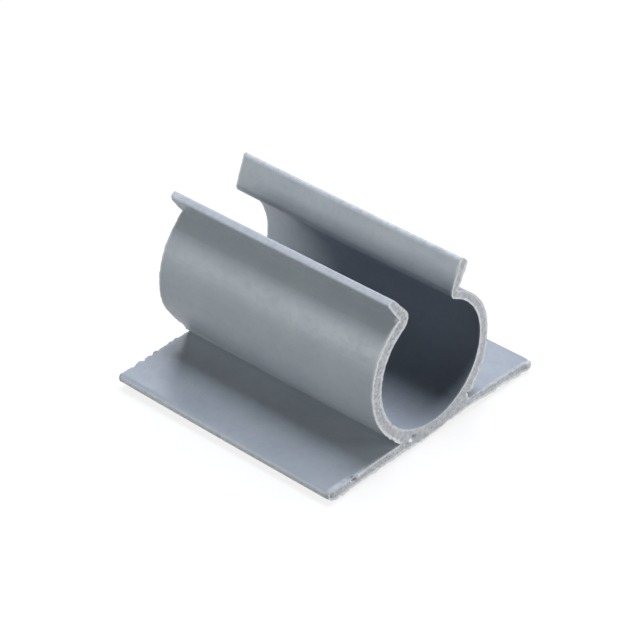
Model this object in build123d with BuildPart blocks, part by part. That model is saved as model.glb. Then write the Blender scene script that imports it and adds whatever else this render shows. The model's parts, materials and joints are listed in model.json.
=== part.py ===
from build123d import *
import os
from math import asin, cos, degrees, radians, sin, sqrt

# Adhesive cable clip: a flat square base plate and an open round barrel with two
# flared lips, extruded in one constant section and sawn to length at both ends.
# X runs across the section, Y along the barrel and Z up from the plate's underside.
# All sizes are in millimetres and degrees.

# Base plate
base_width = 25.4
clip_length = 25.4
plate_thickness = 1.0
plate_edge_share = 0.42

# Barrel: its bore, its wall and the plastic left under the bore
bore_diameter = 12.2
bore_floor = 1.22
barrel_wall = 1.0
crotch_radius = 0.24

# Lips: each arm of the barrel ends in a crease, where the lip turns outwards
crease_angle = 59.0
lip_lean = 28.5
lip_length = 2.4
lip_tip_thickness = 0.76
lip_tip_share = 0.4

# The bore stands on its floor, and the barrel's wall goes round it
bore_radius = bore_diameter / 2
barrel_radius = bore_radius + barrel_wall
bore_centre = (0, bore_floor + bore_radius)

# The outside of the barrel meets the top of the plate at an acute crotch
crotch_drop = bore_centre[1] - plate_thickness
crotch_x = sqrt(barrel_radius**2 - crotch_drop**2)
crotch_angle = -degrees(asin(crotch_drop / barrel_radius))

# The wall bends round the crease as its centre, and thins from there to the lip's tip
crease = (
    barrel_radius * cos(radians(crease_angle)),
    bore_centre[1] + barrel_radius * sin(radians(crease_angle)),
)
lip_taper = degrees(asin((barrel_wall - lip_tip_thickness) / lip_length))
inner_lean = lip_lean + lip_taper
bend_start = 180 - inner_lean
bend_turn = crease_angle + inner_lean

# The plate's long sides are nearly full rounds, and so are the tips of the lips
plate_edge_radius = plate_edge_share * plate_thickness
lip_tip_radius = lip_tip_share * lip_tip_thickness

with BuildPart() as clip:
    # Half of the section, from the middle of the underside round to the bottom of the bore
    with BuildSketch(Plane.XZ) as section:
        with BuildLine() as outline:
            underside = Line((0, 0), (base_width / 2, 0))
            plate_side = Line(underside @ 1, (base_width / 2, plate_thickness))
            plate_top = Line(plate_side @ 1, (crotch_x, plate_thickness))
            outside = CenterArc(bore_centre, barrel_radius, crotch_angle, crease_angle - crotch_angle)
            lip_outside = PolarLine(outside @ 1, lip_length, 90 - lip_lean)
            bend = CenterArc(crease, barrel_wall, bend_start, bend_turn)
            lip_inside = PolarLine(bend @ 0, lip_length, 90 - inner_lean)
            lip_tip = Line(lip_outside @ 1, lip_inside @ 1)
            bore = CenterArc(bore_centre, bore_radius, crease_angle, -90 - crease_angle)
            mirror(about=Plane.YZ)
        make_face()
    extrude(amount=clip_length / 2, both=True)

    sides = clip.edges().filter_by(Axis.Y).sort_by(Axis.X)
    fillet(sides[:2] + sides[-2:], radius=plate_edge_radius)

    tips = clip.edges().filter_by(Axis.Y).sort_by(Axis.Z)[-4:]
    fillet(tips, radius=lip_tip_radius)

    crotches = clip.edges().filter_by(Axis.Y).sort_by(
        lambda edge: abs(abs(edge.center().X) - crotch_x) + abs(edge.center().Z - plate_thickness)
    )[:2]
    fillet(crotches, radius=crotch_radius)

clip.part.label = "clip"

os.makedirs("parts", exist_ok=True)
export_step(clip.part, "parts/clip.step")
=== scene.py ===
"""Adhesive cable clip: one length of grey extruded plastic, sawn off at both ends.

The clip is a square base plate under a round spring barrel, which is open at the top between
two flared lips. X runs across the section, Y along the barrel and Z up from the underside.
The classes hold their sizes in millimetres and degrees, and MM turns them into metres. SLACK is
the room, in millimetres, within which two places count as one.
"""

import json
import logging
import math
from collections.abc import Callable
from dataclasses import dataclass
from enum import Enum

import bmesh
import bpy
from mathutils import Matrix, Vector, noise


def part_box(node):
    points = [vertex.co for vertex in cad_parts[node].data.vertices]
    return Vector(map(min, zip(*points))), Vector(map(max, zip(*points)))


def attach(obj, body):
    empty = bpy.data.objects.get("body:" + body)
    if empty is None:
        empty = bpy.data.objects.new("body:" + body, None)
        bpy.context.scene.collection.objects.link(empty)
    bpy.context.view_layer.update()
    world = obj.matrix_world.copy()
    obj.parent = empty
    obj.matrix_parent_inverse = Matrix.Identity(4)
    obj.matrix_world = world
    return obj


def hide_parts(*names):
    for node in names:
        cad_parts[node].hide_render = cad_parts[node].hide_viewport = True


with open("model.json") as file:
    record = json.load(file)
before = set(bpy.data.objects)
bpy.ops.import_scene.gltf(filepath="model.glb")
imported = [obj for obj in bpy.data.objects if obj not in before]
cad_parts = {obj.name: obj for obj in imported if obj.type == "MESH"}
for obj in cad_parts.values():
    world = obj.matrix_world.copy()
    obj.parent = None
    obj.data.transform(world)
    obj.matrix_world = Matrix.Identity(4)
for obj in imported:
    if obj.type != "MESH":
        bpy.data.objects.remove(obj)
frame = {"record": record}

MM = 0.001
SLACK = 0.01
CAD_NODE = "clip"
BODY = "root"

Pair = tuple[float, float]
Triple = tuple[float, float, float]
Socket = bpy.types.NodeSocket

log = logging.getLogger("cable_clip")


class Side(Enum):
    """The two halves of the section, as seen from the near end."""

    LEFT = -1
    RIGHT = 1


class SawnEnd(Enum):
    """The two sawn ends of the clip."""

    NEAR = -1
    FAR = 1


def smooth_step(low: float, high: float, value: float) -> float:
    """Eases from 0 at low to 1 at high.

    Args:
        low: Value at and below which the result is 0.
        high: Value at and above which the result is 1.
        value: Value to ease.

    Returns:
        A share from 0 to 1.
    """
    share = min(1.0, max(0.0, (value - low) / (high - low)))
    return share * share * (3 - 2 * share)


def direction(azimuth: float, elevation: float) -> Vector:
    """Points from the clip to a place round it.

    Args:
        azimuth: Degrees round the clip, from its near end towards its right side.
        elevation: Degrees above the floor.

    Returns:
        A vector of length one.
    """
    turn, rise = math.radians(azimuth), math.radians(elevation)
    return Vector((math.sin(turn) * math.cos(rise), -math.cos(turn) * math.cos(rise), math.sin(rise)))


def deselect_all() -> None:
    """Deselects every object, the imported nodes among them."""
    if bpy.context.object and bpy.context.object.mode != "OBJECT":
        bpy.ops.object.mode_set(mode="OBJECT")
    bpy.ops.object.select_all(action="DESELECT")


@dataclass(frozen=True)
class ClipFrame:
    """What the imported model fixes: the plate's half sizes and the bore, in millimetres."""

    half_width: float
    half_length: float
    bore_radius: float
    bore_height: float

    @property
    def floor(self) -> float:
        """Plastic left under the bore."""
        return self.bore_height - self.bore_radius

    @classmethod
    def from_pack(cls) -> "ClipFrame":
        """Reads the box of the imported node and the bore's mount.

        Returns:
            The frame that the visible clip keeps to.
        """
        low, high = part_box(CAD_NODE)
        bore = next(m for m in frame["record"]["mounts"] if m["name"] == "cable_bore")
        return cls(
            half_width=(high.x - low.x) / 2 / MM,
            half_length=(high.y - low.y) / 2 / MM,
            bore_radius=bore["dims"]["r_mm"],
            bore_height=bore["pos_m"][2] / MM,
        )


class Bench:
    """The mesh in edit mode: faces and edges are picked in code and worked by operators."""

    def __init__(self, piece: bpy.types.Object) -> None:
        """Takes a piece to the bench.

        Args:
            piece: The mesh object to work on, with its place in its mesh.
        """
        self.piece = piece

    def open(self) -> None:
        """Enters edit mode with edges picked."""
        deselect_all()
        self.piece.select_set(True)
        bpy.context.view_layer.objects.active = self.piece
        bpy.ops.object.mode_set(mode="EDIT")
        bpy.context.tool_settings.mesh_select_mode = (False, True, False)

    def close(self) -> None:
        """Goes back to object mode."""
        bpy.ops.object.mode_set(mode="OBJECT")

    def pick_edges(self, test: Callable[[Vector], bool]) -> None:
        """Selects the edges whose two ends pass a test.

        Args:
            test: Says of a point in millimetres whether it belongs.
        """
        mesh = bmesh.from_edit_mesh(self.piece.data)
        for part in (*mesh.faces, *mesh.edges, *mesh.verts):
            part.select = False
        for edge in mesh.edges:
            if all(test(vert.co / MM) for vert in edge.verts):
                edge.select = True
        bmesh.update_edit_mesh(self.piece.data)

    def pick_verts(self, test: Callable[[Vector], bool]) -> None:
        """Selects the visible corners that pass a test.

        Args:
            test: Says of a place in metres whether it belongs.
        """
        bpy.ops.mesh.select_all(action="DESELECT")
        mesh = bmesh.from_edit_mesh(self.piece.data)
        for vert in mesh.verts:
            if not vert.hide and test(vert.co):
                vert.select = True
        mesh.select_flush_mode()
        bmesh.update_edit_mesh(self.piece.data)

    def extrude(self, x: float = 0.0, y: float = 0.0, z: float = 0.0) -> None:
        """Extrudes what is selected by a step in millimetres."""
        step = (x * MM, y * MM, z * MM)
        bpy.ops.mesh.extrude_region_move(TRANSFORM_OT_translate={"value": step})

    def turn(self, degrees: float, pivot: Pair) -> None:
        """Turns the selection in the section's plane, from X towards Z."""
        centre = (pivot[0] * MM, 0, pivot[1] * MM)
        bpy.ops.transform.rotate(value=math.radians(degrees), orient_axis="Y", center_override=centre)

    def scale(self, factor: float, pivot: Pair) -> None:
        """Scales the selection in the section's plane about a point."""
        centre = (pivot[0] * MM, 0, pivot[1] * MM)
        bpy.ops.transform.resize(value=(factor, 1, factor), center_override=centre)


@dataclass(frozen=True)
class ArmShape:
    """One arm of the barrel and its lip, drawn on the right-hand side.

    The arm leaves the web at the crotch, goes round the bore in two arcs that meet level with
    the bore's middle, bends outwards round its crease and ends in a tapering lip.
    """

    side: Side
    crotch_reach: float
    crotch_top: float
    crotch_floor: float
    lower_radius: float
    upper_shift: float
    root_wall: float
    middle_wall: float
    crease_wall: float
    crease_angle: float
    lip_wall: float
    lip_lean: float
    lip_taper: float
    lip_length: float
    tip_wall: float
    tip_slant: float
    tip_round: float

    @property
    def sign(self) -> int:
        """Plus one on the right and minus one on the left."""
        return self.side.value


@dataclass
class Section:
    """The clip's cross-section as a flat sheet of cells, from which the clip is drawn out.

    The eases are powers: the higher they are, the closer to the crotch the web's rows leave
    their even levels and its sides dip in. A rounded end closes down to its last_row share.
    """

    shape: ClipFrame
    left: ArmShape
    right: ArmShape
    wall_cells: int = 7
    crotch_cells: int = 4
    plate_cells: int = 7
    web_cells: int = 52
    crotch_dip: float = 0.2
    level_ease: int = 3
    dip_ease: int = 8
    bend_cells: int = 12
    fan_cells: int = 6
    cell: float = 0.17
    weld: float = 0.001
    plate_edge_height: float = 0.88
    plate_round: float = 0.4
    round_rows: int = 5
    last_row: float = 0.06

    @property
    def rows(self) -> int:
        """Cells from the underside up to the bore."""
        return self.plate_cells + self.crotch_cells + self.wall_cells

    def build(self, name: str) -> Bench:
        """Makes the flat sheet at the near end.

        Args:
            name: Name of the piece.

        Returns:
            The bench that holds the sheet, out of edit mode.
        """
        bench = self._web(name)
        bench.open()
        for arm in (self.left, self.right):
            self._flange(bench, arm)
            self._arm(bench, arm)
        bpy.ops.mesh.select_all(action="SELECT")
        bpy.ops.mesh.remove_doubles(threshold=self.weld * MM)
        bench.close()
        return bench

    def _web(self, name: str) -> Bench:
        """Shapes a grid into the solid middle, between the bore's floor and the underside.

        Args:
            name: Name of the piece.

        Returns:
            The bench that holds the grid.
        """
        deselect_all()
        upright = (math.pi / 2, 0, 0)
        bpy.ops.mesh.primitive_grid_add(
            x_subdivisions=self.web_cells, y_subdivisions=self.rows, size=1, rotation=upright
        )
        piece = bpy.context.object
        piece.name = piece.data.name = name
        bpy.ops.object.transform_apply(location=True, rotation=True, scale=True)
        for vert in piece.data.vertices:
            across, up = vert.co.x + 0.5, round((vert.co.z + 0.5) * self.rows)
            x, z = self._web_point(across, up)
            vert.co = (x * MM, -self.shape.half_length * MM, z * MM)
        return Bench(piece)

    def _web_point(self, across: float, row: int) -> Pair:
        """Places one corner of the web's grid.

        Args:
            across: Share of the way from the left crotch to the right one.
            row: Row of the corner, counted up from the underside.

        Returns:
            The corner's x and z in millimetres.
        """
        x = -self.left.crotch_reach + across * (self.left.crotch_reach + self.right.crotch_reach)
        arm = self.left if x < 0 else self.right
        nearness = min(1.0, abs(x) / arm.crotch_reach) ** self.level_ease
        level = self.shape.bore_radius + (arm.lower_radius - self.shape.bore_radius) * nearness
        top = self._bore_floor(x, level)
        even = top * row / self.rows
        side_top = self._bore_floor(arm.crotch_reach, level)
        knee = self.plate_cells + self.crotch_cells
        if row <= self.plate_cells:
            side = arm.crotch_floor * row / self.plate_cells
        elif row <= knee:
            share = (row - self.plate_cells) / self.crotch_cells
            side = arm.crotch_floor + (arm.crotch_top - arm.crotch_floor) * share
            x -= arm.sign * self.crotch_dip * math.sin(math.pi * share) * nearness**self.dip_ease
        else:
            share = (row - knee) / self.wall_cells
            side = arm.crotch_top + (side_top - arm.crotch_top) * share
        side *= 1 + (top / side_top - 1) * row / self.rows
        return x, even + (side - even) * nearness

    def _bore_floor(self, x: float, radius: float) -> float:
        """Height of the bore's surface over a place on the base."""
        return self.shape.floor + radius - math.sqrt(radius**2 - x**2)

    def _flange(self, bench: Bench, arm: ArmShape) -> None:
        """Draws the plate out from the crotch to its rounded long edge.

        Args:
            bench: The bench with the web's sheet.
            arm: The arm on whose side the plate goes out.
        """
        reach, top = arm.crotch_reach, arm.crotch_floor
        bench.pick_edges(lambda p: arm.sign * p.x > reach - SLACK and p.z < top + SLACK)
        end = self.shape.half_width - self.plate_round
        steps = round((end - reach) / self.cell)
        stride = arm.sign * (end - reach) / steps
        thinning = (self.plate_edge_height / arm.crotch_floor) ** (1 / steps)
        for step in range(1, steps + 1):
            bench.extrude(x=stride)
            bench.scale(thinning, (arm.sign * reach + stride * step, 0))
        middle = (arm.sign * end, self.plate_edge_height / 2)
        self._round_off(bench, middle, (arm.sign, 0.0), self.plate_round, self.plate_edge_height)

    def _round_off(
        self, bench: Bench, middle: Pair, heading: Pair, radius: float, thickness: float
    ) -> None:
        """Ends a wall in a round, row by row.

        Args:
            bench: The bench with the wall's last row selected.
            middle: Middle of that row.
            heading: Direction in which the wall ends.
            radius: Radius of the rounded corners.
            thickness: Thickness of the wall.
        """
        flat = max(0.0, 1 - 2 * radius / thickness)
        width, depth = 1.0, 0.0
        for row in range(1, self.round_rows + 1):
            angle = math.pi / 2 * row / self.round_rows
            next_depth = radius * math.sin(angle)
            next_width = flat + (1 - flat) * max(self.last_row, math.cos(angle))
            bench.extrude(x=heading[0] * (next_depth - depth), z=heading[1] * (next_depth - depth))
            place = (middle[0] + heading[0] * next_depth, middle[1] + heading[1] * next_depth)
            bench.scale(next_width / width, place)
            width, depth = next_width, next_depth

    def _arm(self, bench: Bench, arm: ArmShape) -> None:
        """Sweeps the wall from the crotch round the bore, over the crease and up the lip.

        Args:
            bench: The bench with the web's sheet.
            arm: The arm to draw.
        """
        root = (arm.crotch_reach, self._bore_floor(arm.crotch_reach, arm.lower_radius))
        bench.pick_edges(
            lambda p: abs(arm.sign * p.x - root[0]) < SLACK
            and arm.crotch_top - SLACK < p.z < root[1] + SLACK
        )
        centre_height = self.shape.floor + arm.lower_radius
        start = math.degrees(math.atan2(root[1] - centre_height, root[0]))
        wall = self._fan(bench, arm, root, start)

        lower = (0.0, centre_height)
        upper = (arm.upper_shift, centre_height)
        upper_radius = arm.lower_radius - arm.upper_shift
        wall = self._sweep(bench, arm, lower, arm.lower_radius, (start, 0.0), (wall, arm.middle_wall))
        wall = self._sweep(
            bench, arm, upper, upper_radius, (0.0, arm.crease_angle), (wall, arm.crease_wall)
        )
        crease_radius = upper_radius + wall
        turn = math.radians(arm.crease_angle)
        crease = (
            upper[0] + crease_radius * math.cos(turn),
            upper[1] + crease_radius * math.sin(turn),
        )
        self._lip(bench, arm, crease, wall)

    def _fan(self, bench: Bench, arm: ArmShape, root: Pair, start: float) -> float:
        """Turns the wall's root row from upright to square with the bore.

        Args:
            bench: The bench with the root row selected.
            arm: The arm to draw.
            root: Where the root row meets the bore.
            start: Direction of the root from the bore's middle.

        Returns:
            The wall's thickness after the turn.
        """
        drop = root[1] - arm.crotch_top
        turn = (90 + start) / self.fan_cells
        length = drop
        for step in range(1, self.fan_cells + 1):
            share = step / self.fan_cells
            target = drop + (arm.root_wall - drop) * math.sin(share * math.pi / 2)
            bench.extrude()
            bench.turn(arm.sign * turn, (arm.sign * root[0], root[1]))
            bench.scale(target / length, (arm.sign * root[0], root[1]))
            length = target
        return length

    def _sweep(
        self, bench: Bench, arm: ArmShape, centre: Pair, radius: float, span: Pair, walls: Pair
    ) -> float:
        """Sweeps the wall's last row round a centre, as its thickness eases to a new one.

        Args:
            bench: The bench with the row selected.
            arm: The arm to draw.
            centre: Centre of the arc, on the right-hand side.
            radius: Inside radius of the arc.
            span: Directions from which and to which the row goes.
            walls: Thickness at the start and at the end.

        Returns:
            The thickness at the end.
        """
        steps = round(math.radians(span[1] - span[0]) * radius / self.cell)
        turn = (span[1] - span[0]) / steps
        wall = walls[0]
        for step in range(1, steps + 1):
            angle = math.radians(span[0] + turn * step)
            inside = (
                arm.sign * (centre[0] + radius * math.cos(angle)),
                centre[1] + radius * math.sin(angle),
            )
            target = walls[0] + (walls[1] - walls[0]) * smooth_step(0, 1, step / steps)
            bench.extrude()
            bench.turn(arm.sign * turn, (arm.sign * centre[0], centre[1]))
            bench.scale(target / wall, inside)
            wall = target
        return wall

    def _lip(self, bench: Bench, arm: ArmShape, crease: Pair, wall: float) -> None:
        """Bends the wall outwards round its crease and draws the lip to its tip.

        Args:
            bench: The bench with the wall's last row selected.
            arm: The arm to draw.
            crease: The point that the wall bends round, on the right-hand side.
            wall: The wall's thickness before the bend.
        """
        pivot = (arm.sign * crease[0], crease[1])
        turn = -(arm.crease_angle + arm.lip_lean + arm.lip_taper) / self.bend_cells
        for step in range(1, self.bend_cells + 1):
            share = step / self.bend_cells
            target = arm.crease_wall + (arm.lip_wall - arm.crease_wall) * share
            bench.extrude()
            bench.turn(arm.sign * turn, pivot)
            bench.scale(target / wall, pivot)
            wall = target
        lean = math.radians(arm.lip_lean)
        heading = (arm.sign * math.sin(lean), math.cos(lean))
        straight = arm.lip_length - arm.tip_round
        steps = round(straight / self.cell)
        stride = straight / steps
        for step in range(1, steps + 1):
            share = step / steps
            target = arm.lip_wall + (arm.tip_wall - arm.lip_wall) * share
            bench.extrude(x=heading[0] * stride, z=heading[1] * stride)
            place = (pivot[0] + heading[0] * straight * share, pivot[1] + heading[1] * straight * share)
            bench.scale(target / wall, place)
            bench.turn(arm.sign * arm.tip_slant / steps, place)
            wall = target
        across = math.radians(180 - arm.lip_lean - arm.lip_taper + arm.tip_slant)
        middle = (
            place[0] + arm.sign * math.cos(across) * arm.tip_wall / 2,
            place[1] + math.sin(across) * arm.tip_wall / 2,
        )
        self._round_off(bench, middle, heading, arm.tip_round, arm.tip_wall)


@dataclass(frozen=True)
class Scar:
    """One knock, nick or burr: the plastic round a place is pushed, less and less with distance."""

    name: str
    end: SawnEnd
    x: float
    z: float
    reach: float
    push: Triple
    inset: float = 0.0

    def place(self, half_length: float) -> Vector:
        """The middle of the scar, in metres."""
        return Vector((self.x, self.end.value * (half_length - self.inset), self.z)) * MM


@dataclass(frozen=True)
class PalePatch:
    """A place where the skin is painted paler inside a box with soft sides: rubbed wear, and at the
    lips' tips and the left long side partly a painted highlight.
    """

    name: str
    low: Triple
    high: Triple
    soft: float
    amount: float

    def share(self, place: Vector) -> float:
        """Says how pale the skin is at a place.

        Args:
            place: The place in millimetres.

        Returns:
            A share from 0 to the rub's amount.
        """
        share = self.amount
        for value, low, high in zip(place, self.low, self.high):
            share *= smooth_step(low - self.soft, low + self.soft, value)
            share *= smooth_step(-high - self.soft, -high + self.soft, -value)
        return share


@dataclass
class WearAndHighlights:
    """What the saw and handling did to the clip, with a painted highlight along the lips' tips and the
    left long side.
    """

    shape: ClipFrame
    barrel_burr: float = 0.025
    plate_burr: float = 0.06
    least_burr: float = 0.5
    rim_scale: float = 2.4
    rim_noise: tuple[float, float, int] = (0.6, 2.2, 3)
    rim_fade: tuple[float, ...] = (0.88, 0.36)
    rim_span: Pair = (0.04, 0.19)
    foot_margin: float = 0.3
    far_foot_pale: float = 0.2
    face_relief: float = 0.035
    face_scale: float = 2.3
    face_noise: tuple[float, float, int] = (0.5, 2.3, 4)
    skin_wave: float = 0.012
    wave_scale: Triple = (0.7, 0.16, 0.7)
    foot_depth: float = 0.9
    foot_height: float = 1.05
    foot_ease: float = 1.5
    scar_area: float = 1.2
    plate_overrun: float = 0.16
    corner_shortfall: float = 0.26
    lip_overrun: float = 0.33
    corner_lift: float = 0.16
    root_pinch: float = 0.32
    crease_rise: float = 0.3
    tip_rise: float = 0.17
    plate_span: Pair = (1.2, 4.0)
    corner_span: Pair = (4.0, 12.5)
    root_spans: tuple[Pair, ...] = ((1.2, 2.4), (3.2, 6.0))
    crease_span: Pair = (8.5, 12.0)
    lip_span: Pair = (12.5, 14.5)
    near_foot: tuple[Pair, ...] = (
        (-12.7, 0.04), (-11.9, -0.06), (-10.8, -0.1), (-9.8, 0.0), (-3.0, 0.0),
        (-1.2, -0.1), (1.0, 0.0), (1.9, 0.16), (3.2, 0.15), (4.8, 0.25),
        (6.0, 0.2), (6.6, 0.08), (7.7, 0.0), (8.1, -0.05), (8.3, 0.12),
        (9.1, 0.14), (9.4, 0.0), (10.6, -0.08), (11.2, -0.22), (11.5, -0.02),
        (12.7, -0.1),
    )

    @property
    def scars(self) -> tuple[Scar, ...]:
        """The separate marks that can be seen.

        Returns:
            The scars, the near end's first.
        """
        near, far = SawnEnd.NEAR, SawnEnd.FAR
        return (
            Scar("front corner worn", near, -12.6, 0.4, 0.6, (0.1, 0.12, 0.06)),
            Scar("front burr wedge", near, -11.4, 0.9, 0.9, (0.0, -0.04, 0.09)),
            Scar("front nick", near, -9.7, 0.75, 0.36, (0.0, 0.32, -0.3)),
            Scar("front nick burr", near, -9.2, 0.75, 0.35, (0.0, -0.16, 0.04)),
            Scar("front edge crumb", near, -7.9, 0.95, 0.3, (0.0, -0.12, 0.1)),
            Scar("arm burr", near, 7.0, 4.9, 1.5, (0.12, -0.02, -0.03)),
            Scar("arm burr below", near, 6.5, 4.0, 1.4, (0.1, -0.02, -0.05)),
            Scar("arm burr foot", near, 5.7, 2.95, 1.1, (0.1, -0.02, -0.08)),
            Scar("crotch burr", near, -4.7, 1.75, 0.5, (-0.12, -0.1, 0.0)),
            Scar("crotch crumb", near, -5.3, 2.2, 0.3, (-0.08, -0.08, -0.06)),
            Scar("web pit", near, -2.35, 0.85, 0.35, (0.0, 0.3, 0.0)),
            Scar("web burr", near, -2.85, 0.75, 0.4, (0.0, -0.2, 0.0)),
            Scar("right crotch burr", near, 5.0, 1.85, 0.6, (0.08, -0.06, -0.2)),
            Scar("right crotch pit", near, 4.75, 1.45, 0.3, (0.0, 0.22, 0.0)),
            Scar("right corner worn", near, 12.6, 0.9, 0.5, (-0.06, 0.1, -0.06)),
            Scar("right end pushed out", near, 12.3, 0.4, 1.0, (0.0, -0.2, 0.0)),
            Scar("far nick", far, -9.75, 0.95, 0.25, (0.0, -0.14, -0.06)),
            Scar("far bump", far, -10.2, 0.95, 0.25, (0.0, 0.1, 0.01)),
            Scar("second far nick", far, -8.8, 0.95, 0.25, (0.0, -0.12, -0.06)),
            Scar("second far bump", far, -8.3, 0.95, 0.3, (0.0, 0.1, 0.02)),
            Scar("third far nick", far, -11.0, 0.95, 0.3, (0.0, -0.08, -0.05)),
            Scar("fourth far nick", far, -7.2, 0.95, 0.3, (0.0, -0.08, -0.05)),
            Scar("chipped lip", far, -4.9, 15.4, 0.4, (0.06, -0.08, -0.03)),
            Scar("chipped lip bump", far, -4.6, 15.1, 0.4, (-0.06, 0.0, -0.05), inset=0.7),
        )

    @property
    def pale_patches(self) -> tuple[PalePatch, ...]:
        """The places painted pale: rubbed wear, and along the lips' tips and the left long side partly
        a painted highlight.

        Returns:
            The pale patches. Those that go out past an end reach from before to beyond it.
        """
        half = self.shape.half_length
        before, beyond = -half - 1, half + 1
        return (
            # Painted highlight, partly rubbed wear: the lips' tips are painted paler where the light
            # falls on them.
            PalePatch("right lip's tip", (3.0, before, 15.58), (6.0, beyond, 17.0), 0.08, 1.0),
            PalePatch("left lip's tip", (-6.0, before, 15.5), (-3.0, beyond, 17.0), 0.12, 0.55),
            PalePatch("left lip's far end", (-6.0, half - 1.6, 14.6), (-3.0, beyond, 17.0), 0.5, 0.7),
            # Painted highlight, partly rubbed wear: the left long side is painted paler where the light
            # from the left falls on it.
            PalePatch("left long side", (-14.0, before, -1.0), (-12.4, beyond, 0.75), 0.14, 0.6),
            PalePatch("torn front rim", (-9.5, before, 0.55), (-8.1, -half + 0.2, 1.3), 0.12, 0.9),
            PalePatch("web burr", (-3.2, before, 0.45), (-2.65, -half + 0.1, 1.0), 0.14, 0.9),
            PalePatch("front burr wedge", (-12.9, before, 0.85), (-10.2, -half + 0.45, 1.4), 0.12, 1.0),
            PalePatch("near end's crease", (-3.9, before, 13.2), (-3.4, -half + 0.35, 13.9), 0.1, 1.0),
        )

    def apply(self, bench: Bench) -> None:
        """Wears the drawn-out clip and paints its pale patches, some of them partly a painted
        highlight.

        Args:
            bench: The bench that holds it.
        """
        mesh = bench.piece.data
        ends = self._mark_ends(mesh)
        self._roughen(mesh, ends)
        self._strike(bench)
        self._paint_pale_patches(mesh)
        self._skew(mesh)
        log.info("scars: %s", ", ".join(scar.name for scar in self.scars))
        log.info("rubbed pale: %s", ", ".join(pale_patch.name for pale_patch in self.pale_patches))

    def _mark_ends(self, mesh: bpy.types.Mesh) -> dict[int, Vector]:
        """Marks the sawn faces, and finds which way the skin faces at each rim.

        Args:
            mesh: The clip's mesh.

        Returns:
            The outward direction of the skin at each vertex of the rims.
        """
        sawn = mesh.attributes.new("sawn", "BOOLEAN", "FACE")
        burr = mesh.attributes.new("burr", "FLOAT", "POINT")
        half = self.shape.half_length * MM
        outward: dict[int, Vector] = {}
        capped: set[int] = set()
        for face in mesh.polygons:
            if abs(abs(face.center.y) - half) < SLACK * MM:
                sawn.data[face.index].value = True
                capped.update(face.vertices)
        for face in mesh.polygons:
            if not sawn.data[face.index].value:
                for index in capped.intersection(face.vertices):
                    outward[index] = outward.get(index, Vector()) + face.normal
        for index, way in outward.items():
            outward[index] = way.normalized()
            burr.data[index].value = 1.0
        reached = set(outward)
        for level in self.rim_fade:
            inner = {
                a if b in reached else b
                for a, b in (tuple(edge.vertices) for edge in mesh.edges)
                if (a in reached) != (b in reached) and a in capped and b in capped
            }
            for index in inner:
                burr.data[index].value = level
            reached |= inner
        return outward

    def _roughen(self, mesh: bpy.types.Mesh, rims: dict[int, Vector]) -> None:
        """Raises burrs round the rims, roughens the sawn faces and waves the skin a little.

        Args:
            mesh: The clip's mesh.
            rims: Outward direction of the skin at each vertex of the rims.
        """
        half = self.shape.half_length
        burr = mesh.attributes["burr"]
        normals = [vert.normal.copy() for vert in mesh.vertices]
        for vert in mesh.vertices:
            place = vert.co / MM
            end = 1 if place.y > 0 else -1
            from_end = half - abs(place.y)
            foot = place.z < self.shape.floor + self.foot_margin
            pale = self.far_foot_pale if foot and end > 0 else 1.0
            move = Vector()
            if vert.index in rims:
                height = self.plate_burr if foot else self.barrel_burr
                ripple = noise.fractal(place * self.rim_scale, *self.rim_noise)
                lift = height * max(0.0, self.least_burr + ripple)
                move += rims[vert.index] * lift + Vector((0, end * lift, 0))
                burr.data[vert.index].value = pale * min(1.0, self.least_burr + lift / height)
            elif from_end < SLACK:
                grain = noise.fractal(place * self.face_scale, *self.face_noise)
                move.y = end * self.face_relief * grain
            else:
                stretched = [value * scale for value, scale in zip(place, self.wave_scale)]
                move = normals[vert.index] * self.skin_wave * noise.noise(Vector(stretched))
                burr.data[vert.index].value = pale * (1 - smooth_step(*self.rim_span, from_end))
            if end < 0 and from_end < self.foot_depth and place.z < self.foot_height:
                fade = (1 - from_end / self.foot_depth) ** self.foot_ease
                move.z += self._foot(place.x) * fade * (1 - place.z / self.foot_height)
            vert.co += move * MM

    def _foot(self, x: float) -> float:
        """Reads how far the near end's lower edge is off its level.

        Args:
            x: Place along the edge.

        Returns:
            Its rise, or its droop below zero.
        """
        for (x0, z0), (x1, z1) in zip(self.near_foot, self.near_foot[1:]):
            if x0 <= x <= x1:
                return z0 + (z1 - z0) * (x - x0) / (x1 - x0)
        return 0.0

    def _strike(self, bench: Bench) -> None:
        """Pushes the plastic in or out at each scar, with a soft edge.

        Args:
            bench: The bench that holds the clip.
        """
        places = [scar.place(self.shape.half_length) for scar in self.scars]
        area = self.scar_area * MM
        bench.open()
        bpy.context.tool_settings.mesh_select_mode = (True, False, False)
        bench.pick_verts(lambda co: any((co - place).length < area for place in places))
        bpy.ops.mesh.hide(unselected=True)
        for scar, place in zip(self.scars, places):
            mesh = bmesh.from_edit_mesh(bench.piece.data)
            seen = [vert for vert in mesh.verts if not vert.hide]
            nearest = min(seen, key=lambda vert: (vert.co - place).length_squared)
            bench.pick_verts(lambda co: co == nearest.co)
            bpy.ops.transform.translate(
                value=Vector(scar.push) * MM,
                use_proportional_edit=True,
                proportional_edit_falloff="SMOOTH",
                proportional_size=scar.reach * MM,
            )
        bpy.ops.mesh.reveal(select=False)
        bench.close()

    def _paint_pale_patches(self, mesh: bpy.types.Mesh) -> None:
        """Writes how pale the skin is painted at each corner of the mesh, for rubbed wear and, at the
        lips' tips and the left long side, partly a painted highlight.

        Args:
            mesh: The clip's mesh.
        """
        rubbed_and_highlit = mesh.attributes.new("rubbed_and_highlit", "FLOAT", "POINT")
        pale_patches = self.pale_patches
        for vert in mesh.vertices:
            place = vert.co / MM
            rubbed_and_highlit.data[vert.index].value = max(pale_patch.share(place) for pale_patch in pale_patches)

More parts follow.
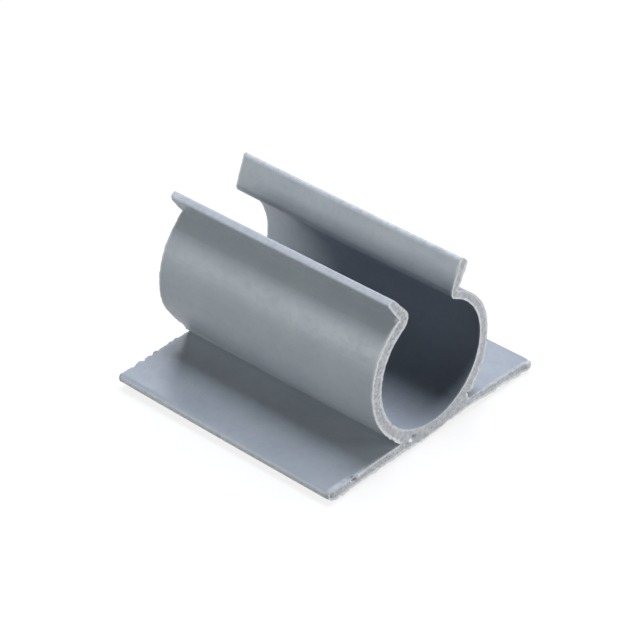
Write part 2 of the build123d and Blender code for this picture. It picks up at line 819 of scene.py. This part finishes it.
    def _skew(self, mesh: bpy.types.Mesh) -> None:
        """Lets the far cut run out of square, and the section change a little towards it.

        Args:
            mesh: The clip's mesh.
        """
        half = self.shape.half_length
        for vert in mesh.vertices:
            place = vert.co / MM
            along = (place.y + half) / (2 * half)
            corner = smooth_step(*self.corner_span, -place.x)
            plate = self.plate_overrun - self.corner_shortfall * corner
            plate *= 1 - smooth_step(*self.plate_span, place.z)
            lip = smooth_step(*self.lip_span, place.z)
            left_lip = self.lip_overrun * lip if place.x < 0 else 0.0
            vert.co.y += (plate + left_lip) * along**3 * MM
            vert.co.z += self.corner_lift * corner * along**2 * MM
            if place.x < 0:
                low, high = (smooth_step(*span, place.z) for span in self.root_spans)
                vert.co.x += self.root_pinch * low * (1 - high) * along**2 * MM
            else:
                crease = smooth_step(*self.crease_span, place.z) * (1 - lip)
                vert.co.z += (self.crease_rise * crease + self.tip_rise * lip) * along**2 * MM


@dataclass
class CableClip:
    """The visible clip: its section drawn out to length, sawn, worn, given painted highlights and
    dressed.
    """

    shape: ClipFrame
    name: str = "cable_clip"
    end_stations: tuple[float, ...] = (0.05, 0.12, 0.2, 0.3, 0.42, 0.58, 0.78, 1.02, 1.3, 1.65, 2.1)
    middle_stride: float = 0.55
    smooth_angle: float = 38.0
    left: ArmShape = ArmShape(
        side=Side.LEFT,
        crotch_reach=4.05,
        crotch_top=1.16,
        crotch_floor=1.02,
        lower_radius=6.03,
        upper_shift=0.0,
        root_wall=1.1,
        middle_wall=1.12,
        crease_wall=1.27,
        crease_angle=60.0,
        lip_wall=0.95,
        lip_lean=32.0,
        lip_taper=5.5,
        lip_length=2.27,
        tip_wall=0.76,
        tip_slant=11.0,
        tip_round=0.2,
    )
    right: ArmShape = ArmShape(
        side=Side.RIGHT,
        crotch_reach=4.65,
        crotch_top=1.6,
        crotch_floor=1.08,
        lower_radius=6.22,
        upper_shift=1.1,
        root_wall=1.08,
        middle_wall=0.93,
        crease_wall=0.75,
        crease_angle=66.0,
        lip_wall=0.74,
        lip_lean=30.5,
        lip_taper=-7.0,
        lip_length=2.66,
        tip_wall=1.12,
        tip_slant=-20.0,
        tip_round=0.3,
    )

    def build(self) -> bpy.types.Object:
        """Makes the clip.

        Returns:
            The finished piece.
        """
        section = Section(self.shape, self.left, self.right)
        bench = section.build(self.name)
        self._draw_out(bench)
        log.info("%s: drawn out to %d faces", self.name, len(bench.piece.data.polygons))
        WearAndHighlights(self.shape).apply(bench)
        self._dress(bench.piece)
        return bench.piece

    def _draw_out(self, bench: Bench) -> None:
        """Draws the section out along the barrel, with close stations near the sawn ends.

        Args:
            bench: The bench with the flat sheet.
        """
        length = 2 * self.shape.half_length
        inner = length - 2 * self.end_stations[-1]
        count = round(inner / self.middle_stride)
        stations = list(self.end_stations)
        stations += [self.end_stations[-1] + inner * step / count for step in range(1, count)]
        stations += [length - station for station in reversed(self.end_stations)]
        stations.append(length)
        bench.open()
        bpy.context.tool_settings.mesh_select_mode = (False, False, True)
        bpy.ops.mesh.select_all(action="SELECT")
        reached = 0.0
        for station in stations:
            bench.extrude(y=station - reached)
            reached = station
        bpy.ops.mesh.select_all(action="SELECT")
        bpy.ops.mesh.normals_make_consistent(inside=False)
        bench.close()

    def _dress(self, piece: bpy.types.Object) -> None:
        """Gives the skin and the sawn ends their finishes.

        Args:
            piece: The worn clip.
        """
        piece.data.materials.append(ExtrudedSkin().make())
        piece.data.materials.append(SawnFace().make())
        sawn = [mark.value for mark in piece.data.attributes["sawn"].data]
        for face, cut in zip(piece.data.polygons, sawn):
            face.material_index = int(cut)
        deselect_all()
        piece.select_set(True)
        bpy.context.view_layer.objects.active = piece
        bpy.ops.object.shade_smooth_by_angle(angle=math.radians(self.smooth_angle))


class NodeSheet:
    """The nodes of one material, added and joined in short calls."""

    mixed_inputs = (6, 7)
    mixed_output = 2

    def __init__(self, name: str) -> None:
        """Starts a material with one principled shader.

        Args:
            name: Name of the material.
        """
        self.material = bpy.data.materials.new(name)
        self.material.use_nodes = True
        self.tree = self.material.node_tree
        self.shader = self.tree.nodes["Principled BSDF"]
        coordinates = self.tree.nodes.new("ShaderNodeTexCoord")
        self.place = coordinates.outputs["Object"]

    def join(self, source: Socket, target: Socket) -> None:
        """Links one socket to another."""
        self.tree.links.new(source, target)

    def across(self) -> Socket:
        """Adds the place across the section.

        Returns:
            Its value, in metres from the middle.
        """
        node = self.tree.nodes.new("ShaderNodeSeparateXYZ")
        self.join(self.place, node.inputs["Vector"])
        return node.outputs["X"]

    def drawn_out(self, along: float) -> Socket:
        """Scales the Object coordinates along the barrel.

        Args:
            along: Factor along the barrel.

        Returns:
            The scaled coordinates.
        """
        node = self.tree.nodes.new("ShaderNodeMapping")
        node.inputs["Scale"].default_value = (1, along, 1)
        self.join(self.place, node.inputs["Vector"])
        return node.outputs["Vector"]

    def grain(
        self, size: float, detail: float = 3, roughness: float = 0.55, place: Socket | None = None
    ) -> Socket:
        """Noise whose blotches have a size in millimetres.

        Args:
            size: Size of the largest blotches.
            detail: Octaves of finer noise in it.
            roughness: Strength of the finer noise.
            place: Coordinates to use in place of the object's own.

        Returns:
            The noise's value, around one half.
        """
        node = self.tree.nodes.new("ShaderNodeTexNoise")
        node.inputs["Scale"].default_value = 1 / (size * MM)
        node.inputs["Detail"].default_value = detail
        node.inputs["Roughness"].default_value = roughness
        self.join(place or self.place, node.inputs["Vector"])
        return node.outputs["Fac"]

    def ramp(
        self, value: Socket, low: float, high: float, start: float = 0.0, end: float = 1.0
    ) -> Socket:
        """Maps a value from one range to another, and holds it inside.

        Args:
            value: The value to map.
            low: Value that gives start.
            high: Value that gives end.
            start: Result at and below low.
            end: Result at and above high.

        Returns:
            The mapped value.
        """
        node = self.tree.nodes.new("ShaderNodeMapRange")
        node.inputs["From Min"].default_value = low
        node.inputs["From Max"].default_value = high
        node.inputs["To Min"].default_value = start
        node.inputs["To Max"].default_value = end
        self.join(value, node.inputs["Value"])
        return node.outputs["Result"]

    def maths(self, operation: str, first: Socket, second: Socket | float) -> Socket:
        """Combines two values.

        Args:
            operation: Name of the Math node's operation.
            first: The first value.
            second: The second value, a socket or a number.

        Returns:
            The result.
        """
        node = self.tree.nodes.new("ShaderNodeMath")
        node.operation = operation
        self.join(first, node.inputs[0])
        if isinstance(second, (int, float)):
            node.inputs[1].default_value = second
        else:
            self.join(second, node.inputs[1])
        return node.outputs["Value"]

    def blend(self, share: Socket, first: Socket | Triple, second: Socket | Triple) -> Socket:
        """Mixes two colours.

        Args:
            share: Share of the second colour.
            first: A colour, as a socket or as red, green and blue.
            second: The other one.

        Returns:
            The mixed colour.
        """
        node = self.tree.nodes.new("ShaderNodeMix")
        node.data_type = "RGBA"
        self.join(share, node.inputs["Factor"])
        for colour, index in zip((first, second), self.mixed_inputs):
            if isinstance(colour, tuple):
                node.inputs[index].default_value = (*colour, 1)
            else:
                self.join(colour, node.inputs[index])
        return node.outputs[self.mixed_output]

    def attribute(self, name: str) -> Socket:
        """Reads a value that the mesh carries.

        Args:
            name: Name of the attribute.

        Returns:
            Its value.
        """
        node = self.tree.nodes.new("ShaderNodeAttribute")
        node.attribute_name = name
        return node.outputs["Fac"]

    def bump(self, height: Socket, depth: float, under: Socket | None = None) -> Socket:
        """Turns a height into a relief of the surface.

        Args:
            height: The height, from 0 to 1.
            depth: Depth of the relief in millimetres.
            under: A relief that this one lies over.

        Returns:
            The relief's normal.
        """
        node = self.tree.nodes.new("ShaderNodeBump")
        node.inputs["Distance"].default_value = depth * MM
        self.join(height, node.inputs["Height"])
        if under is not None:
            self.join(under, node.inputs["Normal"])
        return node.outputs["Normal"]


@dataclass(frozen=True)
class ExtrudedSkin:
    """Satin skin of the extrusion: faintly mottled grey with fine lines along the barrel, painted paler
    at burrs and rubbed places, and as a painted highlight along the lips' tips and the left long side.
    """

    base: Triple = (0.286, 0.317, 0.36)
    pale: Triple = (0.311, 0.342, 0.38)
    dull: Triple = (0.251, 0.277, 0.317)
    # Pale colour for burrs and rubbed wear, also used for the painted highlight on the lips' tips and
    # the left long side.
    rubbed_and_highlit: Triple = (0.53, 0.56, 0.6)
    blotch_size: float = 4.5
    mottle_size: float = 0.7
    speck_size: float = 0.2
    scuff_size: float = 0.5
    grain_size: float = 0.25
    grain_depth: float = 0.008
    line_size: float = 0.3
    line_stretch: float = 0.05
    line_depth: float = 0.012
    mottle_strength: float = 0.4
    speck_strength: float = 0.3
    line_strength: float = 0.4
    roughness: Pair = (0.42, 0.55)
    pale_patch_roughness: float = 0.15
    refraction: float = 1.5

    def make(self) -> bpy.types.Material:
        """Builds the material.

        Returns:
            The skin's material.
        """
        sheet = NodeSheet("extruded_skin")
        blotch = sheet.ramp(sheet.grain(self.blotch_size, 2), 0.35, 0.65)
        mottle = sheet.ramp(sheet.grain(self.mottle_size, 5, 0.65), 0.45, 0.75)
        speck = sheet.ramp(sheet.grain(self.speck_size, 2, 0.6), 0.62, 0.72)
        lines = sheet.grain(self.line_size, 3, 0.6, sheet.drawn_out(self.line_stretch))
        pale_lines = sheet.ramp(lines, 0.55, 0.75, 0.0, self.line_strength)
        colour = sheet.blend(blotch, self.base, self.pale)
        colour = sheet.blend(sheet.maths("MULTIPLY", mottle, self.mottle_strength), colour, self.dull)
        colour = sheet.blend(sheet.maths("MULTIPLY", speck, self.speck_strength), colour, self.dull)
        colour = sheet.blend(pale_lines, colour, self.pale)
        scuff = sheet.ramp(sheet.grain(self.scuff_size, 4, 0.7), 0.35, 0.6, 0.45, 1.0)
        # Painted highlight: this pale mix also paints the lips' tips and the left long side paler where
        # the light falls, besides burrs and rubbed wear.
        worn = sheet.maths("MAXIMUM", sheet.attribute("burr"), sheet.attribute("rubbed_and_highlit"))
        colour = sheet.blend(sheet.maths("MULTIPLY", worn, scuff), colour, self.rubbed_and_highlit)
        sheet.join(colour, sheet.shader.inputs["Base Color"])
        matt = sheet.maths("MULTIPLY", sheet.attribute("rubbed_and_highlit"), self.pale_patch_roughness)
        matt = sheet.maths("ADD", sheet.ramp(mottle, 0, 1, *self.roughness), matt)
        sheet.join(matt, sheet.shader.inputs["Roughness"])
        relief = sheet.bump(lines, self.line_depth)
        relief = sheet.bump(sheet.grain(self.grain_size), self.grain_depth, relief)
        sheet.join(relief, sheet.shader.inputs["Normal"])
        sheet.shader.inputs["IOR"].default_value = self.refraction
        return sheet.material


@dataclass(frozen=True)
class SawnFace:
    """Sawn plastic: torn and mottled, paler than the skin, with whitened rims."""

    base: Triple = (0.52, 0.545, 0.58)
    pale: Triple = (0.7, 0.725, 0.76)
    pit: Triple = (0.2, 0.22, 0.26)
    rim: Triple = (0.88, 0.91, 0.93)
    torn_size: float = 0.4
    torn_depth: float = 0.05
    fine_size: float = 0.22
    fine_depth: float = 0.03
    fleck_size: float = 0.28
    patch_size: float = 1.6
    pit_strength: float = 0.65
    fleck_strength: float = 0.7
    torn_span: Pair = (-3.0, 4.0)
    clean_strength: float = 0.55
    roughness: Pair = (0.62, 0.85)

    def make(self) -> bpy.types.Material:
        """Builds the material.

        Returns:
            The sawn ends' material.
        """
        sheet = NodeSheet("sawn_face")
        torn = sheet.grain(self.torn_size, 5, 0.65)
        fine = sheet.grain(self.fine_size, 4, 0.65)
        torn_from, torn_to = (x * MM for x in self.torn_span)
        torn_side = sheet.ramp(sheet.across(), torn_from, torn_to, 1.0, self.clean_strength)
        patches = sheet.ramp(sheet.grain(self.patch_size, 2), 0.4, 0.6, 0.5, 1.0)
        strength = sheet.maths("MULTIPLY", torn_side, patches)
        pits = sheet.ramp(fine, 0.54, 0.64, 0.0, self.pit_strength)
        pits = sheet.maths("MULTIPLY", pits, strength)
        flecks = sheet.grain(self.fleck_size, 4, 0.6)
        flecks = sheet.ramp(flecks, 0.52, 0.62, 0.0, self.fleck_strength)
        flecks = sheet.maths("MULTIPLY", flecks, strength)
        colour = sheet.blend(sheet.ramp(torn, 0.38, 0.64), self.base, self.pale)
        colour = sheet.blend(flecks, colour, self.rim)
        colour = sheet.blend(pits, colour, self.pit)
        # Whitened rims from the burrs, plus the pale patches, which at the lips' tips and the left long
        # side are partly a painted highlight.
        whitened = sheet.maths("MAXIMUM", sheet.attribute("burr"), sheet.attribute("rubbed_and_highlit"))
        edge = sheet.maths("ADD", whitened, sheet.ramp(torn, 0.3, 0.7, -0.25, 0.25))
        colour = sheet.blend(sheet.ramp(edge, 0.45, 0.85), colour, self.rim)
        sheet.join(colour, sheet.shader.inputs["Base Color"])
        matt = sheet.ramp(torn, 0.3, 0.7, *self.roughness)
        sheet.join(matt, sheet.shader.inputs["Roughness"])
        relief = sheet.bump(torn, self.torn_depth)
        relief = sheet.bump(fine, self.fine_depth, relief)
        sheet.join(relief, sheet.shader.inputs["Normal"])
        return sheet.material


@dataclass(frozen=True)
class FloorPaint:
    """White sweep under the clip, which keeps a faint shadow."""

    white: float = 0.9
    bounce: float = 0.1
    glow: float = 0.82

    def make(self) -> bpy.types.Material:
        """Builds the floor's material.

        Returns:
            A material that is white to the camera and in reflections.
        """
        material = bpy.data.materials.new("white_sweep")
        material.use_nodes = True
        nodes, links = material.node_tree.nodes, material.node_tree.links
        nodes.clear()
        rays = nodes.new("ShaderNodeLightPath")
        seen = rays.outputs["Is Camera Ray"]
        for kind in ("Is Glossy Ray", "Is Transmission Ray"):
            either = nodes.new("ShaderNodeMath")
            either.operation = "MAXIMUM"
            links.new(seen, either.inputs[0])
            links.new(rays.outputs[kind], either.inputs[1])
            seen = either.outputs[0]
        dull, lit = nodes.new("ShaderNodeBsdfDiffuse"), nodes.new("ShaderNodeBsdfDiffuse")
        dull.inputs["Color"].default_value = (self.bounce, self.bounce, self.bounce, 1)
        lit.inputs["Color"].default_value = (self.white, self.white, self.white, 1)
        glow = nodes.new("ShaderNodeEmission")
        glow.inputs["Strength"].default_value = 1.0
        white, mix = nodes.new("ShaderNodeMixShader"), nodes.new("ShaderNodeMixShader")
        white.inputs[0].default_value = self.glow
        links.new(lit.outputs[0], white.inputs[1])
        links.new(glow.outputs[0], white.inputs[2])
        links.new(seen, mix.inputs[0])
        links.new(dull.outputs[0], mix.inputs[1])
        links.new(white.outputs[0], mix.inputs[2])
        out = nodes.new("ShaderNodeOutputMaterial")
        links.new(mix.outputs[0], out.inputs["Surface"])
        return material


@dataclass(frozen=True)
class SoftLamp:
    """One soft lamp, aimed at the clip from a direction round it."""

    name: str
    azimuth: float
    elevation: float
    power: float
    colour: Triple
    width: float = 250.0
    height: float = 250.0
    distance: float = 400.0

    def build(self) -> None:
        """Hangs the lamp."""
        way = direction(self.azimuth, self.elevation)
        data = bpy.data.lights.new(self.name, "AREA")
        data.shape = "RECTANGLE"
        data.size = self.width * MM
        data.size_y = self.height * MM
        data.energy = self.power
        data.color = self.colour
        lamp = bpy.data.objects.new(self.name, data)
        lamp.location = way * self.distance * MM
        lamp.rotation_euler = (-way).to_track_quat("-Z", "Y").to_euler()
        bpy.context.scene.collection.objects.link(lamp)


@dataclass
class Studio:
    """Floor, lamps and sky round the clip."""

    floor_drop: float = 0.34
    floor_size: float = 4000.0
    sky: float = 0.01
    lamps: tuple[SoftLamp, ...] = (
        SoftLamp("left_lamp", 248, 18.5, 1.07, (1.0, 1.02, 0.98), height=120),
        SoftLamp("top_lamp", 92, 75, 1.38, (0.95, 0.99, 1.1), width=150, height=200),
        SoftLamp("right_lamp", 135, 40, 0.45, (0.96, 0.99, 1.08), width=140, height=140),
        SoftLamp("front_lamp", 35, 6, 1.7, (1.0, 1.0, 1.0)),
    )

    def build(self) -> None:
        """Sets up the floor, the lamps and the sky."""
        deselect_all()
        level = (0, 0, -self.floor_drop * MM)
        bpy.ops.mesh.primitive_plane_add(size=self.floor_size * MM, location=level)
        floor = bpy.context.object
        floor.name = "floor"
        bpy.ops.object.transform_apply(location=True, rotation=True, scale=True)
        floor.data.materials.append(FloorPaint().make())
        for lamp in self.lamps:
            lamp.build()
        world = bpy.data.worlds.new("sky")
        world.use_nodes = True
        background = world.node_tree.nodes["Background"]
        background.inputs["Strength"].default_value = self.sky
        background.inputs["Color"].default_value = (1, 1, 1, 1)
        bpy.context.scene.world = world


@dataclass(frozen=True)
class PhotoCamera:
    """The camera of the photograph, for a square frame. It sees a range given in metres."""

    azimuth: float = -44.395
    elevation: float = 34.726
    roll: float = -2.862
    distance: float = 257.447
    aim_right: float = -0.416
    aim_up: float = 4.852
    lens: float = 165.5
    sensor: float = 36.0
    seen_range: Pair = (0.01, 10.0)

    def build(self) -> None:
        """Places the camera and makes it the scene's."""
        turn, roll = math.radians(self.azimuth), math.radians(self.roll)
        right = Vector((math.cos(turn), math.sin(turn), 0))
        back = direction(self.azimuth, self.elevation)
        up = back.cross(right)
        rolled_right = right * math.cos(roll) + up * math.sin(roll)
        rolled_up = up * math.cos(roll) - right * math.sin(roll)
        place = rolled_right * self.aim_right + rolled_up * self.aim_up + back * self.distance
        data = bpy.data.cameras.new("camera")
        data.lens = self.lens
        data.sensor_width = self.sensor
        data.clip_start, data.clip_end = self.seen_range
        camera = bpy.data.objects.new("camera", data)
        turned = Matrix((rolled_right, rolled_up, back)).transposed()
        camera.matrix_world = Matrix.Translation(place * MM) @ turned.to_4x4()
        bpy.context.scene.collection.objects.link(camera)
        bpy.context.scene.camera = camera


def main() -> None:
    """Builds the clip, the studio and the camera."""
    logging.basicConfig(level=logging.INFO, format="%(message)s")
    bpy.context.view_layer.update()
    clip = CableClip(ClipFrame.from_pack()).build()
    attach(clip, BODY)
    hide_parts(CAD_NODE)
    log.info("%s: in place of %s, on body %s", clip.name, CAD_NODE, BODY)
    studio = Studio()
    studio.build()
    log.info("studio: a floor and %d lamps", len(studio.lamps))
    PhotoCamera().build()
    bpy.context.scene.view_settings.view_transform = "Standard"


if __name__ == "__main__":
    main()
